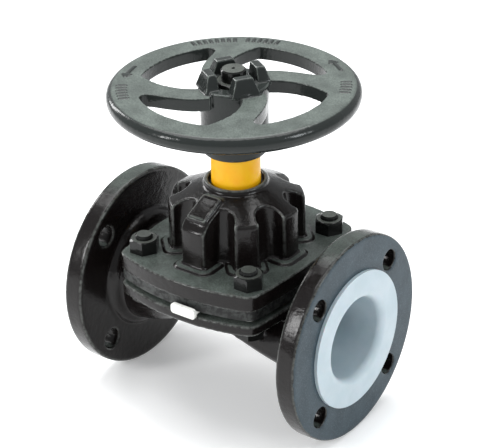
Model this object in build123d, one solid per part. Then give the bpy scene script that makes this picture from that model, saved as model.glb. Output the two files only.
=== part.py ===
from build123d import *
import os
from math import cos, radians, sin, sqrt, tan

# Lined weir-type diaphragm valve, 3 inch (DN 80) with class 150 drilling. Millimetres.
# Everything is modelled about the valve's centre: X is the pipe axis, Z the spindle axis.
# The last step moves it all so that the origin is the centre of the inlet flange's iron face.
# The valve is modelled fully open.

# Pipe connection
FACE_TO_FACE = 254.0
FLANGE_R = 190.5 / 2
FLANGE_THICK = 19.05
BOLT_CIRCLE_R = 152.4 / 2
FLANGE_HOLE_R = 19.05 / 2
BORE_R = 38.0
LINING = 3.0
LINER_FACE_R = 127.0 / 2
LIP_R = 6.5
NECK_R = 47.5
FLANGE_X = FACE_TO_FACE / 2
FLANGE_BACK_X = FLANGE_X - FLANGE_THICK

# Levels along the spindle, from the pipe axis up
SEAT_LOW_Z = 14.0
BODY_FLANGE_LOW_Z = 20.5
BODY_FLANGE_Z = 30.5
LINER_Z = BODY_FLANGE_Z + LINING
DIAPHRAGM_Z = LINER_Z + 2.5
BACKING_Z = DIAPHRAGM_Z + 9.0
BONNET_FLANGE_Z = 60.0
WEB_LOW_Z = 84.0
WEB_Z = 93.0
NECK_Z = 123.0
HUB_LOW_Z = 150.0
SPINDLE_SHOULDER_Z = 160.0
RIM_MID_Z = 204.5
RIM_TOP_Z = 212.0
HUB_TOP_Z = 215.0
SPINDLE_TOP_Z = 227.5
CLAW_TOP_Z = 228.0
LIFT = 25.0

# Square flange between body and bonnet: four shallow arcs with rounded corners
SQUARE_HALF_X, SQUARE_ARC_X = 79.2, 520.0
SQUARE_HALF_Y, SQUARE_ARC_Y = 91.5, 205.0
SQUARE_CORNER_R = 12.5
BONNET_BOLTS = [(57.5, 61.4), (-57.5, 61.4), (-57.5, -61.4), (57.5, -61.4)]
STUD_R = 8.0
STUD_HOLE_R = 8.9
STUD_TOP_Z = 76.0
HEX_FLATS = 24.0
BOLT_HEAD = 10.0
NUT_THICK = 12.5

# Seat: part of a sphere, so the weir's crest is an arc from side to side
OPENING_R = 48.0
SEAT_DEPTH = LINER_Z - SEAT_LOW_Z
SEAT_R = (OPENING_R**2 + SEAT_DEPTH**2) / (2 * SEAT_DEPTH)
SEAT_CENTRE_Z = SEAT_LOW_Z + SEAT_R
DIAPHRAGM_THICK = DIAPHRAGM_Z - LINER_Z
BACKING_THICK = BACKING_Z - DIAPHRAGM_Z
OPEN_CROWN = SEAT_LOW_Z + LIFT - LINER_Z

# Bonnet dome: eight lobes, of which the two across the pipe are longer, wider and lower
LOBES = 8
LOBE_R, LOBE_HALF = 61.0, 11.3
SIDE_LOBE_R, SIDE_LOBE_HALF = 66.5, 12.75
LOBE_CORNER_R = 4.5
SHOULDER_Z = 104.0
SIDE_SHOULDER_Z = 98.0
CONE_Z = 118.7
NECK_R_OUT = 28.6
WELL_R = 24.75
SHOE_MARGIN, SHOE_HEIGHT = 6.0, 2.2
SCALLOP_R = 12.0
SCALLOP_AT_R = 60.0
SCALLOP_LEAN = 5.7
CAVITY_X, CAVITY_Y = 33.5, 44.0
CAVITY_Z = 80.0
KEY_SLOT_HALF = 5.3
KEY_SLOT_REACH = 47.3

# Spindle, bush and compressor
SPINDLE_R = 12.0
SPINDLE_NECK_R = 10.0
SPINDLE_HEAD_R = 15.0
SPINDLE_END_R = 11.0
BUSH_R = 16.5
BUSH_SHOULDER_R = 21.0
BUSH_LOW_Z = 78.0
BUSH_TOP_Z = 116.0
RUNNING = 0.05
COMPRESSOR_LOW_Z = SEAT_LOW_Z + LIFT + DIAPHRAGM_THICK + BACKING_THICK
SLOT_FLOOR_Z = COMPRESSOR_LOW_Z + 12.0
COMPRESSOR_TOP_Z = BUSH_LOW_Z - 0.4

# Handwheel
RIM_R = 111.0
RIM_INNER_R = 84.0
HUB_R = 30.0
SPOKES = 4
SPOKE_ROOT_DEG = 36.5
SPOKE_THICK = 12.0
GAP_CORNER_R = 6.0
CLAW_DEG = 58.0
MARK_R, MARK_LENGTH, MARK_HEIGHT = 97.0, 9.0, 0.9
MARK_STEP_DEG = 3.2
MARK_ROWS = [(126, 8), (103, 6), (215, 6), (24, 5)]
MARK_ARROWS = [(190, 12), (51, 12)]
SLEEVE_R = 22.0
SLEEVE_INNER_R = 19.5


def disc(radius, low, high):
    """A solid cylinder about the spindle axis."""
    return Pos(0, 0, low) * extrude(Circle(radius), high - low)


def ring(outer, inner, low, high):
    """A plain ring about the spindle axis."""
    return disc(outer, low, high) - disc(inner, low - 1, high + 1)


def pipe_disc(radius, low_x, high_x):
    """A solid cylinder about the pipe axis."""
    return Pos(low_x, 0, 0) * Rot(0, 90, 0) * extrude(Circle(radius), high_x - low_x)


def polar(radius, degrees):
    """A point on a circle about the spindle axis."""
    return radius * cos(radians(degrees)), radius * sin(radians(degrees))


def revolved(points):
    """A closed outline of (radius, height) points turned about the spindle axis."""
    return revolve(make_face(Plane.XZ * Polyline(*points, close=True)), Axis.Z)


def both_ends(part):
    """A part on the outlet side and its mirror image on the inlet side."""
    return part + mirror(part, Plane.YZ)


def square_outline(inset=0.0):
    """The bonnet flange's outline: four arcs of large radius, with rounded corners."""
    across = SQUARE_ARC_X - inset
    along = SQUARE_ARC_Y - inset
    shift_x = SQUARE_ARC_X - SQUARE_HALF_X
    shift_y = SQUARE_ARC_Y - SQUARE_HALF_Y
    outline = Pos(-shift_x, 0) * Circle(across) & Pos(shift_x, 0) * Circle(across)
    outline = outline & (Pos(0, -shift_y) * Circle(along)) & (Pos(0, shift_y) * Circle(along))
    return fillet(outline.vertices(), SQUARE_CORNER_R - inset)


def square_plate(low, high, inset=0.0):
    """A plate with the bonnet flange's outline and its four bolt holes."""
    plate = Pos(0, 0, low) * extrude(square_outline(inset), high - low)
    for x, y in BONNET_BOLTS:
        plate -= Pos(x, y, 0) * disc(STUD_HOLE_R, low - 1, high + 1)
    return plate


def duct(stations):
    """A loft along the pipe axis through ellipses, each (x, bottom, top, half width)."""
    sections = []
    for x, bottom, top, half_width in stations:
        middle = Plane(origin=(x, 0, (bottom + top) / 2), x_dir=(0, 1, 0), z_dir=(1, 0, 0))
        sections.append(middle * Ellipse(half_width, (top - bottom) / 2))
    return loft(sections)


def waterway(grown=0.0):
    """The space that the fluid runs through, or that space grown by the lining's thickness."""
    stations = [
        (12, 15.6, 33, 33),
        (30, -1, 33, 40),
        (52, -20, 20, 41),
        (75, -33, 20, 39),
        (95, -37.5, 32, BORE_R),
        (110, -BORE_R, BORE_R, BORE_R),
        (FLANGE_X + 10, -BORE_R, BORE_R, BORE_R),
    ]
    grown_stations = [(x, low - grown, high + grown, half + grown) for x, low, high, half in stations]
    bowl = Pos(0, 0, SEAT_CENTRE_Z) * Rot(90, 0, 0) * Sphere(SEAT_R + grown)
    return both_ends(duct(grown_stations)) + (bowl & disc(OPENING_R + 20, -50, LINER_Z + 20))


def body_casting():
    """The cast body between its pipe flanges: two necks, the weir's bowl and the square flange."""
    half = [
        (0, -6, 28, 60),
        (20, -10, 28, 59),
        (55, -31, 28, 53),
        (76, -41, 30, 49),
        (92, -46, 40, 47.8),
        (FLANGE_BACK_X + 2, -NECK_R, NECK_R, NECK_R),
    ]
    whole = [(-x, low, high, width) for x, low, high, width in reversed(half[1:])] + half
    body = duct(whole)
    for x, y in BONNET_BOLTS:
        body -= Pos(x, y, 0) * disc(HEX_FLATS * 0.62, BODY_FLANGE_LOW_Z - 18, BODY_FLANGE_Z)
    body += square_plate(BODY_FLANGE_LOW_Z, BODY_FLANGE_Z)
    body &= Box(2 * FLANGE_BACK_X, 2 * FLANGE_R, 2 * FLANGE_R)
    body += both_ends(flange_root())
    return body - waterway(LINING)


def pipe_flange():
    """The outlet's pipe flange, cast on the end of the body, with bolt holes astride the centrelines."""
    flange = chamfer(pipe_disc(FLANGE_R, FLANGE_BACK_X, FLANGE_X).edges(), 1.2)
    for quarter in range(4):
        y, z = polar(BOLT_CIRCLE_R, 45 + 90 * quarter)
        flange -= Pos(0, y, z) * pipe_disc(FLANGE_HOLE_R, FLANGE_BACK_X - 1, FLANGE_X + 1)
    return flange - waterway(LINING)


def flange_root():
    """The concave fillet between a neck and the back of its pipe flange."""
    reach = 9.0
    back = FLANGE_BACK_X
    profile = make_face(
        Polyline((back, NECK_R - 8), (back - reach, NECK_R - 8), (back - reach, NECK_R - 0.6))
        + RadiusArc((back - reach, NECK_R - 0.6), (back, NECK_R + reach), reach)
        + Line((back, NECK_R + reach), (back, NECK_R - 8))
    )
    return revolve(profile, Axis.X)


def body_liner():
    """The lining: waterway, raised faces on the pipe flanges and a lip under the diaphragm."""
    above_seat = Pos(0, 0, BODY_FLANGE_Z + 50) * Box(170, 300, 100)
    skin = (waterway(LINING) & Box(FACE_TO_FACE, 300, 300)) - above_seat
    face = pipe_disc(LINER_FACE_R, FLANGE_X, FLANGE_X + LINING)
    lip = disc(72, BODY_FLANGE_Z, LINER_Z)
    liner = skin + both_ends(face) + lip - waterway()
    curved = liner.edges().filter_by(GeomType.BSPLINE)
    mouths = [e for e in curved if abs(e.center().X) > FLANGE_X + LINING - 0.01]
    return fillet(mouths, LIP_R)


def crown(low, thick, reach=32.0, flat=14.0):
    """The domed middle of the diaphragm when the valve is open: flat on top, sloping at the sides."""
    return revolved([
        (0, low + OPEN_CROWN), (flat, low + OPEN_CROWN), (reach, low),
        (reach + 2, low), (reach + 2, low + thick), (reach, low + thick),
        (flat, low + thick + OPEN_CROWN), (0, low + thick + OPEN_CROWN),
    ])


def diaphragm():
    """The fluid-side sheet, with the tab that shows outside the joint."""
    tab_x, tab_width, tab_y = 11.0, 26.0, -SQUARE_HALF_Y
    sheet = square_plate(LINER_Z, DIAPHRAGM_Z, 5.0) - disc(33.0, LINER_Z - 1, DIAPHRAGM_Z + 1)
    sheet += crown(LINER_Z, DIAPHRAGM_THICK)
    arm = Pos(tab_x, tab_y + 2, (LINER_Z + DIAPHRAGM_Z) / 2) * Box(tab_width - 4, 12, DIAPHRAGM_THICK)
    lug = Pos(tab_x, tab_y - 3.4, LINER_Z + 1.9) * Box(tab_width, 3.6, 9.4)
    lug = fillet(lug.edges().filter_by(Axis.Y), 3.0)
    return sheet + arm + fillet(lug.edges().group_by(Axis.Y)[0], 0.8)


def diaphragm_backing():
    """The rubber backing, with a pocket for the head of its stud."""
    backing = square_plate(DIAPHRAGM_Z, BACKING_Z, 1.0) - disc(33.0, DIAPHRAGM_Z - 1, BACKING_Z + 1)
    backing += crown(DIAPHRAGM_Z, BACKING_THICK)
    return backing - disc(9.1, 42.9, 46.6) - disc(5.1, 46, COMPRESSOR_LOW_Z + 1)


def scallops(radius, at_radius, low, high):
    """Upright slots with round bottoms that part the dome into lobes, leaning in towards the top."""
    outward = 30.0
    slot = Circle(radius) + Pos(outward / 2, 0) * Rectangle(outward, 2 * radius)
    cutter = Rot(0, -SCALLOP_LEAN, 0) * extrude(slot, high - low)
    step = 360 / LOBES
    return [Rot(0, 0, step * (k + 0.5)) * Pos(at_radius, 0, low) * cutter for k in range(LOBES)]


def label_pad():
    """A blank raised pad on the slope of the lobe that faces -Y."""
    slope = (CONE_Z - SHOULDER_Z) / (LOBE_R - NECK_R_OUT)
    middle_r = 46.5
    middle_z = CONE_Z - slope * (middle_r - NECK_R_OUT)
    face = Plane(origin=(0, -middle_r, middle_z), x_dir=(1, 0, 0), z_dir=(0, -slope, 1))
    outline = RectangleRounded(20, 29, 2.0)
    pad = extrude(face.offset(-4) * outline, 6.0)
    frame = extrude(face.offset(1) * (outline - RectangleRounded(17, 26, 1.2)), 1.7)
    return pad + frame


def lobe_pair(radius, half_width, corner_r, low, high):
    """Two opposite lobes along X, as one bar with rounded corners."""
    return Pos(0, 0, low) * extrude(RectangleRounded(2 * radius, 2 * half_width, corner_r), high - low)


def dome():
    """The bonnet's dome: a cone on an upright wall, parted into lobes."""
    cone_slope = (CONE_Z - SHOULDER_Z) / (LOBE_R - NECK_R_OUT)
    low = BACKING_Z + 5
    turned = revolved([
        (0, low), (LOBE_R, low), (LOBE_R, SHOULDER_Z - 2.2), (LOBE_R - 1.2, SHOULDER_Z + 0.4),
        (NECK_R_OUT, CONE_Z), (NECK_R_OUT, NECK_Z - 1.2), (NECK_R_OUT - 1.2, NECK_Z), (0, NECK_Z),
    ])
    bars = disc(SCALLOP_AT_R - SCALLOP_R / 2, low, NECK_Z)
    for k in range(LOBES // 2):
        bars += Rot(0, 0, 360 / LOBES * k) * lobe_pair(LOBE_R, LOBE_HALF, LOBE_CORNER_R, low, NECK_Z)
    turned &= bars
    for cutter in scallops(SCALLOP_R, SCALLOP_AT_R, BONNET_FLANGE_Z, NECK_Z + 10):
        turned -= cutter
    bend_r = LOBE_R - 3
    side = revolved([
        (0, low), (SIDE_LOBE_R, low), (SIDE_LOBE_R, SIDE_SHOULDER_Z - 2),
        (SIDE_LOBE_R - 1.5, SIDE_SHOULDER_Z), (bend_r, CONE_Z - cone_slope * (bend_r - NECK_R_OUT)),
        (NECK_R_OUT, CONE_Z), (0, CONE_Z),
    ])
    bar = lobe_pair(SIDE_LOBE_R + 0.4, SIDE_LOBE_HALF, LOBE_CORNER_R, low, NECK_Z)
    return turned + (side & Rot(0, 0, 90) * bar)


def lobe_shoes():
    """A low pad under each lobe, a little larger than the lobe all round."""
    low, high = BONNET_FLANGE_Z - 1, BONNET_FLANGE_Z + SHOE_HEIGHT
    corner_r = LOBE_CORNER_R + SHOE_MARGIN - 2
    shoes = disc(NECK_R_OUT, low, high)
    for k in range(LOBES // 2):
        sideways = 4 * k == LOBES
        radius = (SIDE_LOBE_R if sideways else LOBE_R) + SHOE_MARGIN
        half_width = (SIDE_LOBE_HALF if sideways else LOBE_HALF) + SHOE_MARGIN
        shoes += Rot(0, 0, 360 / LOBES * k) * lobe_pair(radius, half_width, corner_r, low, high)
    return shoes


def bonnet():
    """The bonnet casting: square flange, lobed dome on low shoes, neck ring and spindle web."""
    cavity = Pos(0, 0, BACKING_Z - 1) * extrude(Ellipse(CAVITY_X, CAVITY_Y), CAVITY_Z - BACKING_Z + 1)
    key_slot = Pos(0, 0, (BACKING_Z + CAVITY_Z) / 2) * Box(
        2 * KEY_SLOT_HALF, 2 * KEY_SLOT_REACH, CAVITY_Z - BACKING_Z + 1
    )
    solid = square_plate(BACKING_Z, BONNET_FLANGE_Z) + dome() + lobe_shoes()
    solid -= cavity + key_slot + disc(26, CAVITY_Z - 1, WEB_LOW_Z)
    solid -= disc(BUSH_R + RUNNING, WEB_LOW_Z - 1, WEB_Z + 1)
    return solid - disc(WELL_R, WEB_Z, NECK_Z + 1) + label_pad()


def spindle_bush():
    """Bronze bush: its shoulder takes the closing thrust under the bonnet's web."""
    bush = disc(BUSH_SHOULDER_R, BUSH_LOW_Z, WEB_LOW_Z) + disc(BUSH_R, WEB_LOW_Z, BUSH_TOP_Z)
    bush -= disc(SPINDLE_R + RUNNING, BUSH_LOW_Z - 1, BUSH_TOP_Z + 1)
    bush -= ring(15.2, SPINDLE_R - 1, 108.4, 111.6)
    return bush - ring(BUSH_R + 1, BUSH_R - 2.35, 87.4, 89.8)


def o_ring(ring_r, section_r, z):
    """A rubber ring of round section about the spindle axis."""
    return Pos(0, 0, z) * Torus(ring_r, section_r)


def hexagon(flats, low, high):
    """A hexagonal prism about the spindle axis, its corners chamfered at the top."""
    corner_r = flats / sqrt(3)
    prism = Pos(0, 0, low) * extrude(RegularPolygon(corner_r, 6), high - low)
    drop = (corner_r - flats / 2 + 0.6) * tan(radians(30))
    turned = revolved([
        (0, low), (corner_r + 1, low), (corner_r + 1, high - drop - 0.6),
        (flats / 2 - 0.6, high), (0, high),
    ])
    return prism & turned


def bonnet_bolt(x, y):
    """A hexagon bolt, head under the body flange, threaded end above its nut."""
    shank = chamfer(disc(STUD_R, BODY_FLANGE_LOW_Z, STUD_TOP_Z).edges().group_by(Axis.Z)[-1], 1.4)
    head = Rot(180, 0, 0) * hexagon(HEX_FLATS, -BODY_FLANGE_LOW_Z, BOLT_HEAD - BODY_FLANGE_LOW_Z)
    return Pos(x, y, 0) * (shank + head)


def bonnet_nut(x, y):
    nut = hexagon(HEX_FLATS, BONNET_FLANGE_Z, BONNET_FLANGE_Z + NUT_THICK)
    return Pos(x, y, 0) * (nut - disc(STUD_R + RUNNING, BONNET_FLANGE_Z - 1, STUD_TOP_Z))


def compressor():
    """The pressing head: a dished plate with ribs, a boss with a T-slot, and two guide keys."""
    centre_z = SEAT_CENTRE_Z + LIFT
    press_r = SEAT_R - DIAPHRAGM_THICK - BACKING_THICK
    plan = extrude(Ellipse(30, 41), 120)
    shell = Sphere(press_r) - Sphere(press_r - 7)
    plate = (Pos(0, 0, centre_z) * shell) & plan
    ribs = Pos(0, 0, 60) * (Box(58, 7, 22) + Box(7, 78, 22))
    ribs = ribs & (Pos(0, 0, centre_z) * Sphere(press_r - 2)) & plan
    boss = disc(24, COMPRESSOR_LOW_Z + 4, COMPRESSOR_TOP_Z)
    keys = Pos(0, 0, 68) * Box(10, 93, 16) & disc(46.6, 55, 80)
    keys -= Box(20, 60, 200)
    head = plate + ribs + boss + keys
    head -= disc(SPINDLE_HEAD_R + 0.3, SLOT_FLOOR_Z, SLOT_FLOOR_Z + 9.5)
    head -= disc(SPINDLE_NECK_R + 0.3, SLOT_FLOOR_Z, COMPRESSOR_TOP_Z + 1)
    mouth = 20.0
    head -= Pos(mouth, 0, SLOT_FLOOR_Z + 9.5 / 2) * Box(2 * mouth, 2 * SPINDLE_HEAD_R + 0.6, 9.5)
    head -= Pos(mouth, 0, COMPRESSOR_TOP_Z - 2) * Box(2 * mouth, 2 * SPINDLE_NECK_R + 0.6, 12)
    return head - disc(5.05, COMPRESSOR_LOW_Z - 1, SLOT_FLOOR_Z + 1)


def diaphragm_stud():
    """A headed pin: its head lies in the rubber backing, its shank in the compressor."""
    return disc(9.0, 43.0, 46.5) + disc(5.0, 46.5, SLOT_FLOOR_Z - 1)


def spindle():
    """Head in the compressor, plain cylinder for the thread, keyed end for the handwheel."""
    head_z = SLOT_FLOOR_Z + 0.2
    shaft = disc(SPINDLE_HEAD_R, head_z, head_z + 7)
    shaft += disc(SPINDLE_NECK_R, head_z + 6, 80) + disc(SPINDLE_R, 79, SPINDLE_SHOULDER_Z)
    end = disc(SPINDLE_END_R, SPINDLE_SHOULDER_Z - 1, SPINDLE_TOP_Z)
    shaft += chamfer(end.edges().group_by(Axis.Z)[-1], 1.2)
    shaft -= disc(1.6, SPINDLE_TOP_Z - 4, SPINDLE_TOP_Z + 1)
    return shaft - Pos(SPINDLE_END_R, 0, 180) * Box(6, 6, 28)


def handwheel_key():
    return Pos(SPINDLE_END_R, 0, 180) * Box(5.9, 5.9, 27.8)


def spoke_outline():
    """One curved spoke seen from above: wide at the rim, narrow at the waist, swept at the hub."""
    line = [(90, -0.5, 27), (80, 1, 17), (72, 4, 12.5), (61, 10, 10.5), (45, 22, 10.5), (26, 38, 11)]
    left, right = [], []
    for index, (radius, degrees, half_width) in enumerate(line):
        before = line[max(index - 1, 0)]
        after = line[min(index + 1, len(line) - 1)]
        x0, y0 = polar(before[0], before[1])
        x1, y1 = polar(after[0], after[1])
        length = sqrt((x1 - x0) ** 2 + (y1 - y0) ** 2)
        across = (-(y1 - y0) / length * half_width, (x1 - x0) / length * half_width)
        x, y = polar(radius, degrees)
        left.append((x + across[0], y + across[1]))
        right.append((x - across[0], y - across[1]))
    return make_face(
        Spline(*left) + Line(left[-1], right[-1]) + Spline(*reversed(right)) + Line(right[0], left[0])
    )


def spoked_web():
    """The spokes, with the corners of the gaps rounded where they meet the rim."""
    gaps = Circle(RIM_INNER_R) - Circle(HUB_R)
    for k in range(SPOKES):
        gaps -= Rot(0, 0, SPOKE_ROOT_DEG + 360 / SPOKES * k) * spoke_outline()
    at_rim = [v for v in gaps.vertices() if sqrt(v.X**2 + v.Y**2) > RIM_INNER_R - 1]
    web = Circle(RIM_INNER_R + 1) - fillet(at_rim, GAP_CORNER_R)
    return Pos(0, 0, RIM_TOP_Z - SPOKE_THICK) * extrude(web, SPOKE_THICK)


def rim():
    """The rim's section: flat top, full round outside, hollowed towards the inside below."""
    profile = make_face(
        Plane.XZ * (
            Line((RIM_INNER_R, RIM_TOP_Z), (104, RIM_TOP_Z))
            + ThreePointArc((104, RIM_TOP_Z), (109.4, 209.2), (RIM_R, RIM_MID_Z))
            + ThreePointArc((RIM_R, RIM_MID_Z), (108.9, 198.6), (103, 196))
            + ThreePointArc((103, 196), (93, 196.4), (RIM_INNER_R, 200))
            + Line((RIM_INNER_R, 200), (RIM_INNER_R, RIM_TOP_Z))
        )
    )
    return revolve(profile, Axis.Z)


def claw():
    """One of the four tapered blocks that stand on the hub."""
    inner, base_out, top_out = 18.2, 30.8, 26.2
    base_width, top_width = 27.0, 15.5
    low = Pos((inner + base_out) / 2, 0, HUB_TOP_Z - 3) * Rectangle(base_out - inner, base_width)
    high = Pos((inner + top_out) / 2, 0, CLAW_TOP_Z) * Rectangle(top_out - inner, top_width)
    return fillet(loft([low, high]).edges().group_by(Axis.Z)[-1], 1.6)


def sector(start_deg, sweep_deg):
    """A triangle from the spindle axis that covers a small part of the rim."""
    return make_face(Polyline((0, 0), polar(130, start_deg), polar(130, start_deg + sweep_deg), close=True))


def turning_arrow(start_deg, sweep_deg):
    """The outline of an arrow along the rim, its point at the end of the sweep."""
    shaft = Circle(MARK_R + 1.3) - Circle(MARK_R - 1.3)
    end_deg = start_deg + sweep_deg
    tip = Pos(*polar(MARK_R, end_deg)) * Rot(0, 0, end_deg + (90 if sweep_deg > 0 else -90))
    return (shaft & sector(start_deg, sweep_deg)) + tip * RegularPolygon(5.5, 3)


def tally_bars(start_deg, count):
    """A row of short radial bars, where a foundry would cast its wording."""
    bars = [
        Rot(0, 0, start_deg + MARK_STEP_DEG * k) * Pos(MARK_R, 0) * RectangleRounded(MARK_LENGTH, 2.4, 0.6)
        for k in range(count)
    ]
    return sum(bars[1:], bars[0])


def rim_marks():
    """The raised marks on the rim's flat top."""
    outlines = [tally_bars(start, count) for start, count in MARK_ROWS]
    outlines += [turning_arrow(start, sweep) for start, sweep in MARK_ARROWS]
    return [Pos(0, 0, RIM_TOP_Z - 1) * extrude(outline, 1 + MARK_HEIGHT) for outline in outlines]


def handwheel():
    """The cast handwheel with hub, curved spokes, claws and raised turning arrows."""
    hub = revolved([
        (0, HUB_LOW_Z), (27.3, HUB_LOW_Z), (28.5, HUB_LOW_Z + 1.2), (28.5, 161), (HUB_R, 162.5),
        (HUB_R, 192), (31.0, HUB_TOP_Z - 1), (30.0, HUB_TOP_Z), (0, HUB_TOP_Z),
    ])
    wheel = hub + rim() + spoked_web()
    for k in range(SPOKES):
        wheel += Rot(0, 0, CLAW_DEG + 360 / SPOKES * k) * claw()
    for mark in rim_marks():
        wheel += mark
    wheel -= disc(SLEEVE_R + RUNNING, HUB_LOW_Z - 1, SPINDLE_SHOULDER_Z)
    wheel -= disc(SPINDLE_END_R + RUNNING, SPINDLE_SHOULDER_Z - 1, HUB_TOP_Z + 1)
    wheel -= disc(17.8, 206, HUB_TOP_Z + 1)
    return wheel - Pos(SPINDLE_END_R + 1, 0, 184) * Box(8, 6, 45)


def indicator_sleeve():
    """The yellow sleeve: its top sits in the hub, its foot runs down into the bonnet's neck."""
    foot_z = NECK_Z - 4
    return ring(SLEEVE_R, SLEEVE_INNER_R, foot_z, SPINDLE_SHOULDER_Z - 0.5)


def handwheel_nut():
    nut = hexagon(30, 208.5, 217)
    return nut - disc(SPINDLE_END_R + RUNNING, 208, 218)


def all_parts():
    """Every piece by name."""
    pieces = {
        "body_casting": body_casting(),
        "inlet_flange": mirror(pipe_flange(), Plane.YZ),
        "outlet_flange": pipe_flange(),
        "body_liner": body_liner(),
        "diaphragm": diaphragm(),
        "diaphragm_backing": diaphragm_backing(),
        "bonnet": bonnet(),
        "spindle_bush": spindle_bush(),
        "bush_retaining_ring": ring(19.0, BUSH_R + RUNNING, WEB_Z, WEB_Z + 2.5),
        "bush_o_ring": o_ring(BUSH_R - 1.15, 1.15, 88.6),
        "spindle_o_ring": o_ring(SPINDLE_R + RUNNING + 1.5, 1.5, 110.0),
        "sleeve_wiper": ring(WELL_R, SLEEVE_R + 0.1, 113.5, 117.0),
        "compressor": compressor(),
        "spindle_thrust_washer": ring(15.0, SPINDLE_NECK_R + 0.2, SLOT_FLOOR_Z + 7.3, SLOT_FLOOR_Z + 9.3),
        "diaphragm_stud": diaphragm_stud(),
        "handwheel": handwheel(),
        "spindle": spindle(),
        "indicator_sleeve": indicator_sleeve(),
        "handwheel_key": handwheel_key(),
        "handwheel_washer": ring(17.0, SPINDLE_END_R + 0.2, 206, 208.5),
        "handwheel_nut": handwheel_nut(),
    }
    for number, (x, y) in enumerate(BONNET_BOLTS, 1):
        pieces[f"bonnet_bolt_{number}"] = bonnet_bolt(x, y)
        pieces[f"bonnet_nut_{number}"] = bonnet_nut(x, y)
    return pieces


os.makedirs("parts", exist_ok=True)
for name, piece in all_parts().items():
    export_step(Pos(FACE_TO_FACE / 2, 0, 0) * piece, f"parts/{name}.step")
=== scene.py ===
import math

import bmesh
import bpy
from mathutils import Matrix, Vector


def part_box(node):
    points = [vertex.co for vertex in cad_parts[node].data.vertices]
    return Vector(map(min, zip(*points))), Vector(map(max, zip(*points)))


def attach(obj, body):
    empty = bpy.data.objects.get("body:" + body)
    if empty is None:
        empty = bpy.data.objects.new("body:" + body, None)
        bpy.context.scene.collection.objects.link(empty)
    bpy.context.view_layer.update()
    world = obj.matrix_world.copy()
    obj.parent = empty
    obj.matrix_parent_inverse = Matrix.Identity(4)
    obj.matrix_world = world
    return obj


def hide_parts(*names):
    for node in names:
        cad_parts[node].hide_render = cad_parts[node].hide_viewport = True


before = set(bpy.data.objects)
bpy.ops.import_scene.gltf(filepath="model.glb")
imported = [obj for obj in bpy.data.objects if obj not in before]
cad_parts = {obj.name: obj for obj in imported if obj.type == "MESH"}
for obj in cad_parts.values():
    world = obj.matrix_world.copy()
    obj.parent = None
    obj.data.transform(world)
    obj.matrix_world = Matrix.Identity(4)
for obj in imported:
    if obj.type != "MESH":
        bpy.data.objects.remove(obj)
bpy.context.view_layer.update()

MM = 0.001

# The valve's own centre and levels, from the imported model
CAST_BODY = ("body_casting", "inlet_flange", "outlet_flange")
CLAWS_ABOVE_RIM = 16.0 * MM
FLANGE_LOW, FLANGE_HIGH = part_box("outlet_flange")
INLET_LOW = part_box("inlet_flange")[0]
CENTRE_X = (INLET_LOW.x + FLANGE_HIGH.x) / 2
HALF_LENGTH = (FLANGE_HIGH.x - INLET_LOW.x) / 2
FLOOR_Z = FLANGE_LOW.z
RIM_TOP_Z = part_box("handwheel")[1].z - CLAWS_ABOVE_RIM

# Camera: where it stands, what it looks at, and how it is turned about its own axis
CAMERA_AT = Vector((1.128, -1.3188, 0.960))
CAMERA_TARGET = Vector((0.127, 0.0041, 0.0738))
CAMERA_ROLL_DEG = -1.39
CAMERA_LENS = 157.7
SENSOR_WIDTH = 36.0
VIEW_REACH = 50.0

# Studio: the floor's half width, its own faint glow, and the surrounding light
FLOOR_REACH = 6.0
FLOOR_GLOW = 0.22
SURROUND_COLOUR = (0.95, 0.98, 1.0, 1)
SURROUND_STRENGTH = 0.6

# Castings: the mesh's cell size in millimetres, and how many rounds of smoothing soften its edges
BODY_CELL_MM, BODY_ROUNDS = 1.5, 6
BONNET_CELL_MM, BONNET_ROUNDS = 1.1, 6
WHEEL_CELL_MM, WHEEL_ROUNDS = 0.8, 3
WELD_DISTANCE = 0.002 * MM
FACE_SKIN = 1.0 * MM

# Colours of the enamel on each casting: the enamel, dust on its flat tops that also carries a painted sheen
# of overhead light, and its rubbed edges that also carry a painted highlight
BODY_ENAMEL = {
    "base": (0.0065, 0.0050, 0.0048, 1),
    "dust_and_sheen": (0.108, 0.130, 0.117, 1),
    "wear_and_highlight": (0.14, 0.15, 0.14, 1),
}
WHEEL_ENAMEL = {
    "base": (0.018, 0.021, 0.020, 1),
    "dust_and_sheen": (0.142, 0.166, 0.150, 1),
    "wear_and_highlight": (0.14, 0.16, 0.145, 1),
}
BOLT_ENAMEL = {
    "base": (0.0085, 0.009, 0.0085, 1),
    "dust_and_sheen": (0.11, 0.12, 0.107, 1),
    "wear_and_highlight": (0.11, 0.115, 0.105, 1),
}
STEEL, STEEL_TARNISH = (0.55, 0.55, 0.54, 1), (0.38, 0.36, 0.33, 1)
BRONZE, BRONZE_TARNISH = (0.60, 0.37, 0.15, 1), (0.42, 0.25, 0.11, 1)


# ---------------------------------------------------------------- shader helpers

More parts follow.
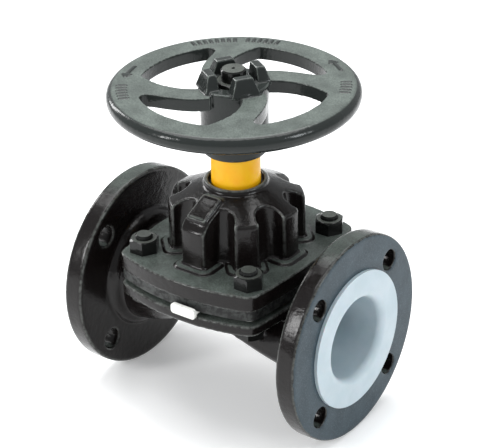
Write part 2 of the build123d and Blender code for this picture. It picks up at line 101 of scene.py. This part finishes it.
class Shader:
    """A material's node tree, with short calls that add nodes and link them."""

    def __init__(self, name, **sockets):
        self.material = bpy.data.materials.new(name)
        self.material.use_nodes = True
        self.tree = self.material.node_tree
        self.surface = self.tree.nodes["Principled BSDF"]
        self.place = self.add("ShaderNodeTexCoord").outputs["Object"]
        for socket, value in sockets.items():
            self.set(socket.replace("_", " "), value)

    def set(self, socket, value):
        """Sets or links one socket of the surface shader."""
        self.join(value, self.surface.inputs[socket])

    def join(self, value, socket):
        if isinstance(value, bpy.types.NodeSocket):
            self.tree.links.new(value, socket)
        else:
            socket.default_value = value

    def add(self, kind, inputs=(), **settings):
        node = self.tree.nodes.new(kind)
        for name, value in settings.items():
            setattr(node, name, value)
        for key, value in dict(inputs).items():
            self.join(value, node.inputs[key])
        return node

    def noise(self, size_mm, detail=3.0, roughness=0.55, place=None):
        """Soft noise whose features are about size_mm across."""
        inputs = {"Vector": place or self.place, "Scale": 1 / (size_mm * MM), "Detail": detail,
                  "Roughness": roughness}
        return self.add("ShaderNodeTexNoise", inputs).outputs["Fac"]

    def ramp(self, value, low, high, to_low=0.0, to_high=1.0):
        """A value mapped from one range to another, smoothly and without overshoot."""
        inputs = {"Value": value, "From Min": low, "From Max": high, "To Min": to_low, "To Max": to_high}
        return self.add("ShaderNodeMapRange", inputs, interpolation_type="SMOOTHSTEP").outputs["Result"]

    def maths(self, operation, *values):
        return self.add("ShaderNodeMath", enumerate(values), operation=operation).outputs["Value"]

    def mix(self, amount, colour_a, colour_b):
        node = self.add("ShaderNodeMix", {0: amount}, data_type="RGBA")
        self.join(colour_a, node.inputs[6])
        self.join(colour_b, node.inputs[7])
        return node.outputs[2]

    def bump(self, height, depth_mm, strength=1.0, under=None):
        """Relief of depth_mm, laid over the relief under it."""
        inputs = {"Height": height, "Distance": depth_mm * MM, "Strength": strength}
        if under is not None:
            inputs["Normal"] = under
        return self.add("ShaderNodeBump", inputs).outputs["Normal"]

    def upward(self):
        """How far the true surface faces up: 1 on top, 0 on a wall, -1 underneath."""
        normal = self.add("ShaderNodeNewGeometry").outputs["Normal"]
        return self.add("ShaderNodeSeparateXYZ", {"Vector": normal}).outputs["Z"]

    def edges(self, low, high):
        """1 on the ridges of a finely meshed piece, 0 on its flats and in its hollows."""
        return self.ramp(self.add("ShaderNodeNewGeometry").outputs["Pointiness"], low, high)

    def about_pipe(self):
        """The distance from the pipe axis."""
        split = self.add("ShaderNodeSeparateXYZ", {"Vector": self.place})
        across = self.add("ShaderNodeCombineXYZ", {"Y": split.outputs["Y"], "Z": split.outputs["Z"]})
        length = self.add("ShaderNodeVectorMath", {0: across.outputs["Vector"]}, operation="LENGTH")
        return length.outputs["Value"]

    def height(self):
        """The height of a point in the valve's frame at rest."""
        return self.add("ShaderNodeSeparateXYZ", {"Vector": self.place}).outputs["Z"]


# ---------------------------------------------------------------- materials

def cast_enamel(name, colours, grain_mm, grain_depth_mm, fine_mesh=True, clean_above=None):
    """Dark enamel flowed over a sand casting: glossy and grainy, dusty on top under a painted sheen, rubbed
    on its edges under a painted highlight.

    The edges are found only on a finely meshed piece. Above the height clean_above, hands keep the dust off,
    and the painted sheen goes with it.
    """
    s = Shader(name, Coat_Weight=0.4, Coat_Roughness=0.04, Coat_IOR=1.45, Specular_IOR_Level=0.08)
    grain = s.noise(grain_mm, 4.0, 0.6)
    waves = s.noise(16.0, 2.0)
    lumps = s.noise(5.0, 2.0)
    specks = s.ramp(s.noise(1.1, 2.0), 0.4, 0.62, 0.55, 1.0)
    patches = s.ramp(s.noise(23.0, 3.0), 0.3, 0.7, 0.6, 1.0)
    # Dust on flat tops, made lighter than dust alone so that it also serves as a painted sheen of the
    # overhead light
    dust_and_sheen_amount = s.maths("MULTIPLY", s.ramp(s.upward(), 0.9, 0.995), specks)
    dust_and_sheen_amount = s.maths("MULTIPLY", dust_and_sheen_amount, patches)
    if clean_above is not None:
        left = s.ramp(s.height(), clean_above, clean_above + 0.3 * MM, 1.0, 0.1)
        dust_and_sheen_amount = s.maths("MULTIPLY", dust_and_sheen_amount, left)
    # Rubbed edges, made lighter than wear alone so that they also serve as a painted highlight along the
    # ridges
    wear_and_highlight_amount = s.ramp(s.noise(4.0, 3.0), 0.35, 0.6, 0.25, 1.0)
    wear_and_highlight_amount = s.maths("MULTIPLY", wear_and_highlight_amount, s.edges(0.51, 0.56) if fine_mesh else 0.0)
    dust_and_sheen_colour = s.mix(dust_and_sheen_amount, colours["base"], colours["dust_and_sheen"])
    s.set("Base Color", s.mix(wear_and_highlight_amount, dust_and_sheen_colour, colours["wear_and_highlight"]))
    uneven = s.maths("ADD", dust_and_sheen_amount, s.ramp(grain, 0.3, 0.7, -0.08, 0.12))
    s.set("Roughness", s.ramp(uneven, 0.0, 1.0, 0.2, 0.55))
    flow = s.bump(lumps, 0.5, 0.4, s.bump(waves, 1.0, 0.4))
    s.set("Normal", s.bump(grain, grain_depth_mm, 0.6, flow))
    s.set("Coat Normal", s.bump(grain, grain_depth_mm, 0.35, flow))
    return s.material


def faced_enamel():
    """Machined flange face under a thin even coat: fine grain and faint turning marks."""
    s = Shader("enamel_on_machined_face", Coat_Weight=0.1, Coat_Roughness=0.3, Specular_IOR_Level=0.28)
    mark_spacing = 0.8 * MM
    wobble = s.maths("MULTIPLY", s.noise(6.0), 0.4 * MM)
    radius = s.maths("ADD", s.about_pipe(), wobble)
    turns = s.maths("SINE", s.maths("MULTIPLY", radius, 2 * math.pi / mark_spacing))
    grain = s.noise(0.7, 4.0, 0.7)
    specks = s.ramp(s.noise(1.3, 3.0, 0.7), 0.5, 0.68, 0.0, 0.5)
    patches = s.ramp(s.noise(18.0, 3.0), 0.3, 0.7)
    plain = s.mix(patches, (0.016, 0.031, 0.041, 1), (0.027, 0.046, 0.059, 1))
    s.set("Base Color", s.mix(specks, plain, (0.080, 0.105, 0.128, 1)))
    s.set("Roughness", s.ramp(grain, 0.3, 0.7, 0.4, 0.6))
    s.set("Normal", s.bump(grain, 0.12, 0.6, s.bump(turns, 0.02, 0.5)))
    return s.material


def moulded_lining():
    """White fluoroplastic lining: waxy, faintly uneven, a little cool."""
    s = Shader(
        "fluoroplastic_lining", Subsurface_Weight=0.12, Subsurface_Scale=0.004, Specular_IOR_Level=0.45
    )
    clouds = s.noise(22.0, 3.0)
    fine = s.noise(1.6, 3.0)
    patches = s.ramp(clouds, 0.3, 0.7)
    s.set("Base Color", s.mix(patches, (0.385, 0.465, 0.505, 1), (0.435, 0.507, 0.548, 1)))
    s.set("Roughness", s.ramp(fine, 0.3, 0.7, 0.3, 0.44))
    s.set("Normal", s.bump(fine, 0.06, 0.5, s.bump(clouds, 0.5, 0.3)))
    return s.material


def sheet_lining():
    """The tab and edge of the diaphragm's white face sheet, handled and slightly grubby."""
    s = Shader("fluoroplastic_sheet")
    marks = s.noise(3.0, 5.0, 0.7)
    s.set("Base Color", s.mix(s.ramp(marks, 0.5, 0.8), (0.84, 0.84, 0.80, 1), (0.5, 0.48, 0.44, 1)))
    s.set("Roughness", 0.45)
    s.set("Normal", s.bump(marks, 0.15, 0.5))
    return s.material


def painted_rubber():
    """The rubber backing's edge, with overspray from the castings."""
    s = Shader("rubber_with_overspray", Specular_IOR_Level=0.3)
    spray = s.ramp(s.noise(5.0, 4.0, 0.65), 0.42, 0.6)
    grain = s.noise(0.8, 3.0)
    s.set("Base Color", s.mix(spray, (0.006, 0.006, 0.006, 1), (0.024, 0.027, 0.025, 1)))
    s.set("Roughness", s.ramp(spray, 0.0, 1.0, 0.62, 0.36))
    s.set("Normal", s.bump(grain, 0.12, 0.5))
    return s.material


def plain_rubber():
    """The seals: clean black rubber with a fine grain."""
    s = Shader("moulded_rubber")
    grain = s.noise(0.6, 3.0)
    s.set("Base Color", s.mix(grain, (0.008, 0.008, 0.008, 1), (0.02, 0.02, 0.02, 1)))
    s.set("Roughness", s.ramp(grain, 0.3, 0.7, 0.5, 0.68))
    s.set("Normal", s.bump(grain, 0.06, 0.4))
    return s.material


def sleeve_plastic():
    """The travel sleeve: bright orange-yellow plastic, rubbed in fine lines round its axis."""
    s = Shader("orange_yellow_plastic", Specular_IOR_Level=0.3)
    stretched = s.add("ShaderNodeMapping", {"Vector": s.place, "Scale": (0.15, 0.15, 2.5)}).outputs["Vector"]
    rubs = s.noise(1.5, 4.0, 0.6, stretched)
    clouds = s.noise(15.0, 2.0)
    s.set("Base Color", s.mix(s.ramp(clouds, 0.3, 0.7), (0.90, 0.41, 0.003, 1), (0.90, 0.48, 0.006, 1)))
    s.set("Roughness", s.ramp(rubs, 0.35, 0.7, 0.3, 0.46))
    s.set("Normal", s.bump(rubs, 0.03, 0.4))
    return s.material


def turned_metal(name, clean, tarnished):
    """Metal turned on a lathe: fine rings round the spindle axis, with a little tarnish."""
    line_mm = 0.35
    s = Shader(name, Metallic=1.0)
    stretched = s.add("ShaderNodeMapping", {"Vector": s.place, "Scale": (0.03, 0.03, 1.0)}).outputs["Vector"]
    lines = s.noise(line_mm, 3.0, 0.6, stretched)
    tarnish = s.noise(6.0, 4.0, 0.6)
    s.set("Base Color", s.mix(s.ramp(tarnish, 0.4, 0.7), clean, tarnished))
    uneven = s.maths("ADD", lines, s.ramp(tarnish, 0.3, 0.8, 0.0, 0.3))
    s.set("Roughness", s.ramp(uneven, 0.3, 1.0, 0.22, 0.5))
    s.set("Normal", s.bump(lines, 0.03, 0.5))
    return s.material


def bare_casting():
    """Unpainted grey iron."""
    s = Shader("bare_grey_iron", Metallic=0.6)
    grain = s.noise(1.2, 5.0, 0.65)
    s.set("Base Color", s.mix(grain, (0.05, 0.048, 0.045, 1), (0.12, 0.115, 0.11, 1)))
    s.set("Roughness", s.ramp(grain, 0.3, 0.7, 0.55, 0.75))
    s.set("Normal", s.bump(grain, 0.35, 0.7))
    return s.material


# ---------------------------------------------------------------- pieces

def joined_copy(nodes, name):
    """A new object with welded copies of some CAD nodes' meshes."""
    edit = bmesh.new()
    for node in nodes:
        edit.from_mesh(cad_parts[node].data)
    bmesh.ops.remove_doubles(edit, verts=edit.verts, dist=WELD_DISTANCE)
    mesh = bpy.data.meshes.new(name)
    edit.to_mesh(mesh)
    edit.free()
    piece = bpy.data.objects.new(name, mesh)
    bpy.context.scene.collection.objects.link(piece)
    return piece


def settle(piece):
    """Applies a piece's modifiers to its mesh."""
    seen = piece.evaluated_get(bpy.context.evaluated_depsgraph_get())
    mesh = bpy.data.meshes.new_from_object(seen)
    piece.modifiers.clear()
    piece.data = mesh


def as_cast(nodes, name, body, cell_mm, rounds):
    """Nodes as the foundry makes them: the same shape in one piece, every edge and corner softened."""
    piece = joined_copy(nodes, name)
    remesh = piece.modifiers.new("even_mesh", "REMESH")
    remesh.mode = "VOXEL"
    remesh.voxel_size = cell_mm * MM
    settle(piece)
    smooth = piece.modifiers.new("softened_edges", "SMOOTH")
    smooth.factor = 0.5
    smooth.iterations = rounds
    settle(piece)
    piece.data.shade_smooth()
    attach(piece, body)
    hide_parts(*nodes)
    return piece


def second_finish(piece, test):
    """Polygons whose centre and normal pass the test take the piece's second material."""
    for polygon in piece.data.polygons:
        if test(polygon.center, polygon.normal):
            polygon.material_index = 1


def paint(piece, *materials):
    """Puts materials in a piece's slots, in order."""
    piece.data.materials.clear()
    for material in materials:
        piece.data.materials.append(material)


# ---------------------------------------------------------------- stage

def add_floor():
    """A plain pale floor at the level of the pipe flanges' lowest points."""
    mesh = bpy.data.meshes.new("floor")
    quarters = ((-1, -1), (1, -1), (1, 1), (-1, 1))
    corners = [(FLOOR_REACH * x, FLOOR_REACH * y, FLOOR_Z) for x, y in quarters]
    mesh.from_pydata(corners, [], [tuple(range(len(corners)))])
    floor = bpy.data.objects.new("floor", mesh)
    bpy.context.scene.collection.objects.link(floor)
    s = Shader("pale_floor")
    s.set("Base Color", s.mix(s.noise(60.0, 2.0), (0.88, 0.88, 0.88, 1), (0.9, 0.9, 0.9, 1)))
    s.set("Roughness", 0.7)
    s.set("Emission Color", (1, 1, 1, 1))
    s.set("Emission Strength", FLOOR_GLOW)
    paint(floor, s.material)


def add_panel(name, place, target, width, height, watts, colour=(1, 1, 1)):
    """A rectangular soft light at place, facing target."""
    light = bpy.data.lights.new(name, "AREA")
    light.shape = "RECTANGLE"
    light.size, light.size_y = width, height
    light.energy = watts
    light.color = colour
    panel = bpy.data.objects.new(name, light)
    panel.location = place
    panel.rotation_euler = (Vector(target) - Vector(place)).to_track_quat("-Z", "Y").to_euler()
    bpy.context.scene.collection.objects.link(panel)


def add_lights():
    """Four soft panels round the valve, and an even light from all round."""
    middle = (CENTRE_X, 0, 0.08)
    add_panel("overhead_panel", (CENTRE_X - 0.4, 0.3, 2.2), middle, 2.2, 1.8, 60)
    add_panel("left_panel", (CENTRE_X - 1.0, -2.0, 1.1), middle, 0.4, 0.9, 26)
    add_panel("back_panel", (CENTRE_X - 1.7, 0.2, 0.9), middle, 0.35, 0.9, 12)
    add_panel("right_panel", (CENTRE_X + 1.9, 0.2, 1.2), middle, 0.5, 0.7, 15, (0.92, 0.97, 1.0))
    world = bpy.data.worlds.new("studio")
    world.use_nodes = True
    background = world.node_tree.nodes["Background"]
    background.inputs["Color"].default_value = SURROUND_COLOUR
    background.inputs["Strength"].default_value = SURROUND_STRENGTH
    bpy.context.scene.world = world


def add_camera():
    """The camera, aimed at its target and rolled a little about its own axis."""
    data = bpy.data.cameras.new("camera")
    data.lens = CAMERA_LENS
    data.sensor_width = SENSOR_WIDTH
    data.clip_end = VIEW_REACH
    camera = bpy.data.objects.new("camera", data)
    turn = (CAMERA_TARGET - CAMERA_AT).to_track_quat("-Z", "Y").to_matrix().to_4x4()
    roll = Matrix.Rotation(math.radians(CAMERA_ROLL_DEG), 4, "Z")
    camera.matrix_world = Matrix.Translation(CAMERA_AT) @ turn @ roll
    bpy.context.scene.collection.objects.link(camera)
    bpy.context.scene.camera = camera


# ---------------------------------------------------------------- the valve

def add_castings():
    """The three castings as softened pieces, with their enamel."""
    enamel = cast_enamel("enamel_over_casting", BODY_ENAMEL, grain_mm=1.3, grain_depth_mm=0.3)
    body = as_cast(CAST_BODY, "cast_body", "root", BODY_CELL_MM, BODY_ROUNDS)
    paint(body, enamel, faced_enamel())
    face_x = HALF_LENGTH - FACE_SKIN
    second_finish(body, lambda at, normal: abs(at.x - CENTRE_X) > face_x and abs(normal.x) > 0.9)
    cover = as_cast(["bonnet"], "cast_bonnet", "root", BONNET_CELL_MM, BONNET_ROUNDS)
    paint(cover, enamel)
    wheel = as_cast(["handwheel"], "cast_handwheel", "handwheel", WHEEL_CELL_MM, WHEEL_ROUNDS)
    clean_above = RIM_TOP_Z + 0.25 * MM
    paint(wheel, cast_enamel("enamel_over_wheel", WHEEL_ENAMEL, 1.8, 0.22, clean_above=clean_above))


def finish_nodes():
    """Materials for the CAD nodes that stay as they are."""
    bolt_enamel = cast_enamel("enamel_over_bolts", BOLT_ENAMEL, 1.6, 0.15, fine_mesh=False)
    rubber = plain_rubber()
    steel = turned_metal("turned_steel", STEEL, STEEL_TARNISH)
    bronze = turned_metal("turned_bronze", BRONZE, BRONZE_TARNISH)
    finishes = {
        "body_liner": moulded_lining(), "diaphragm": sheet_lining(), "diaphragm_backing": painted_rubber(),
        "indicator_sleeve": sleeve_plastic(), "compressor": bare_casting(), "spindle": bolt_enamel,
        "bush_o_ring": rubber, "spindle_o_ring": rubber, "sleeve_wiper": rubber,
        "spindle_bush": bronze, "spindle_thrust_washer": bronze,
        "bush_retaining_ring": steel, "diaphragm_stud": steel, "handwheel_key": steel,
        "handwheel_washer": bolt_enamel, "handwheel_nut": bolt_enamel,
    }
    for number in range(1, 5):
        finishes[f"bonnet_bolt_{number}"] = bolt_enamel
        finishes[f"bonnet_nut_{number}"] = bolt_enamel
    for node, material in finishes.items():
        paint(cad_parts[node], material)


bpy.context.scene.view_settings.view_transform = "Standard"
add_camera()
add_floor()
add_lights()
add_castings()
finish_nodes()
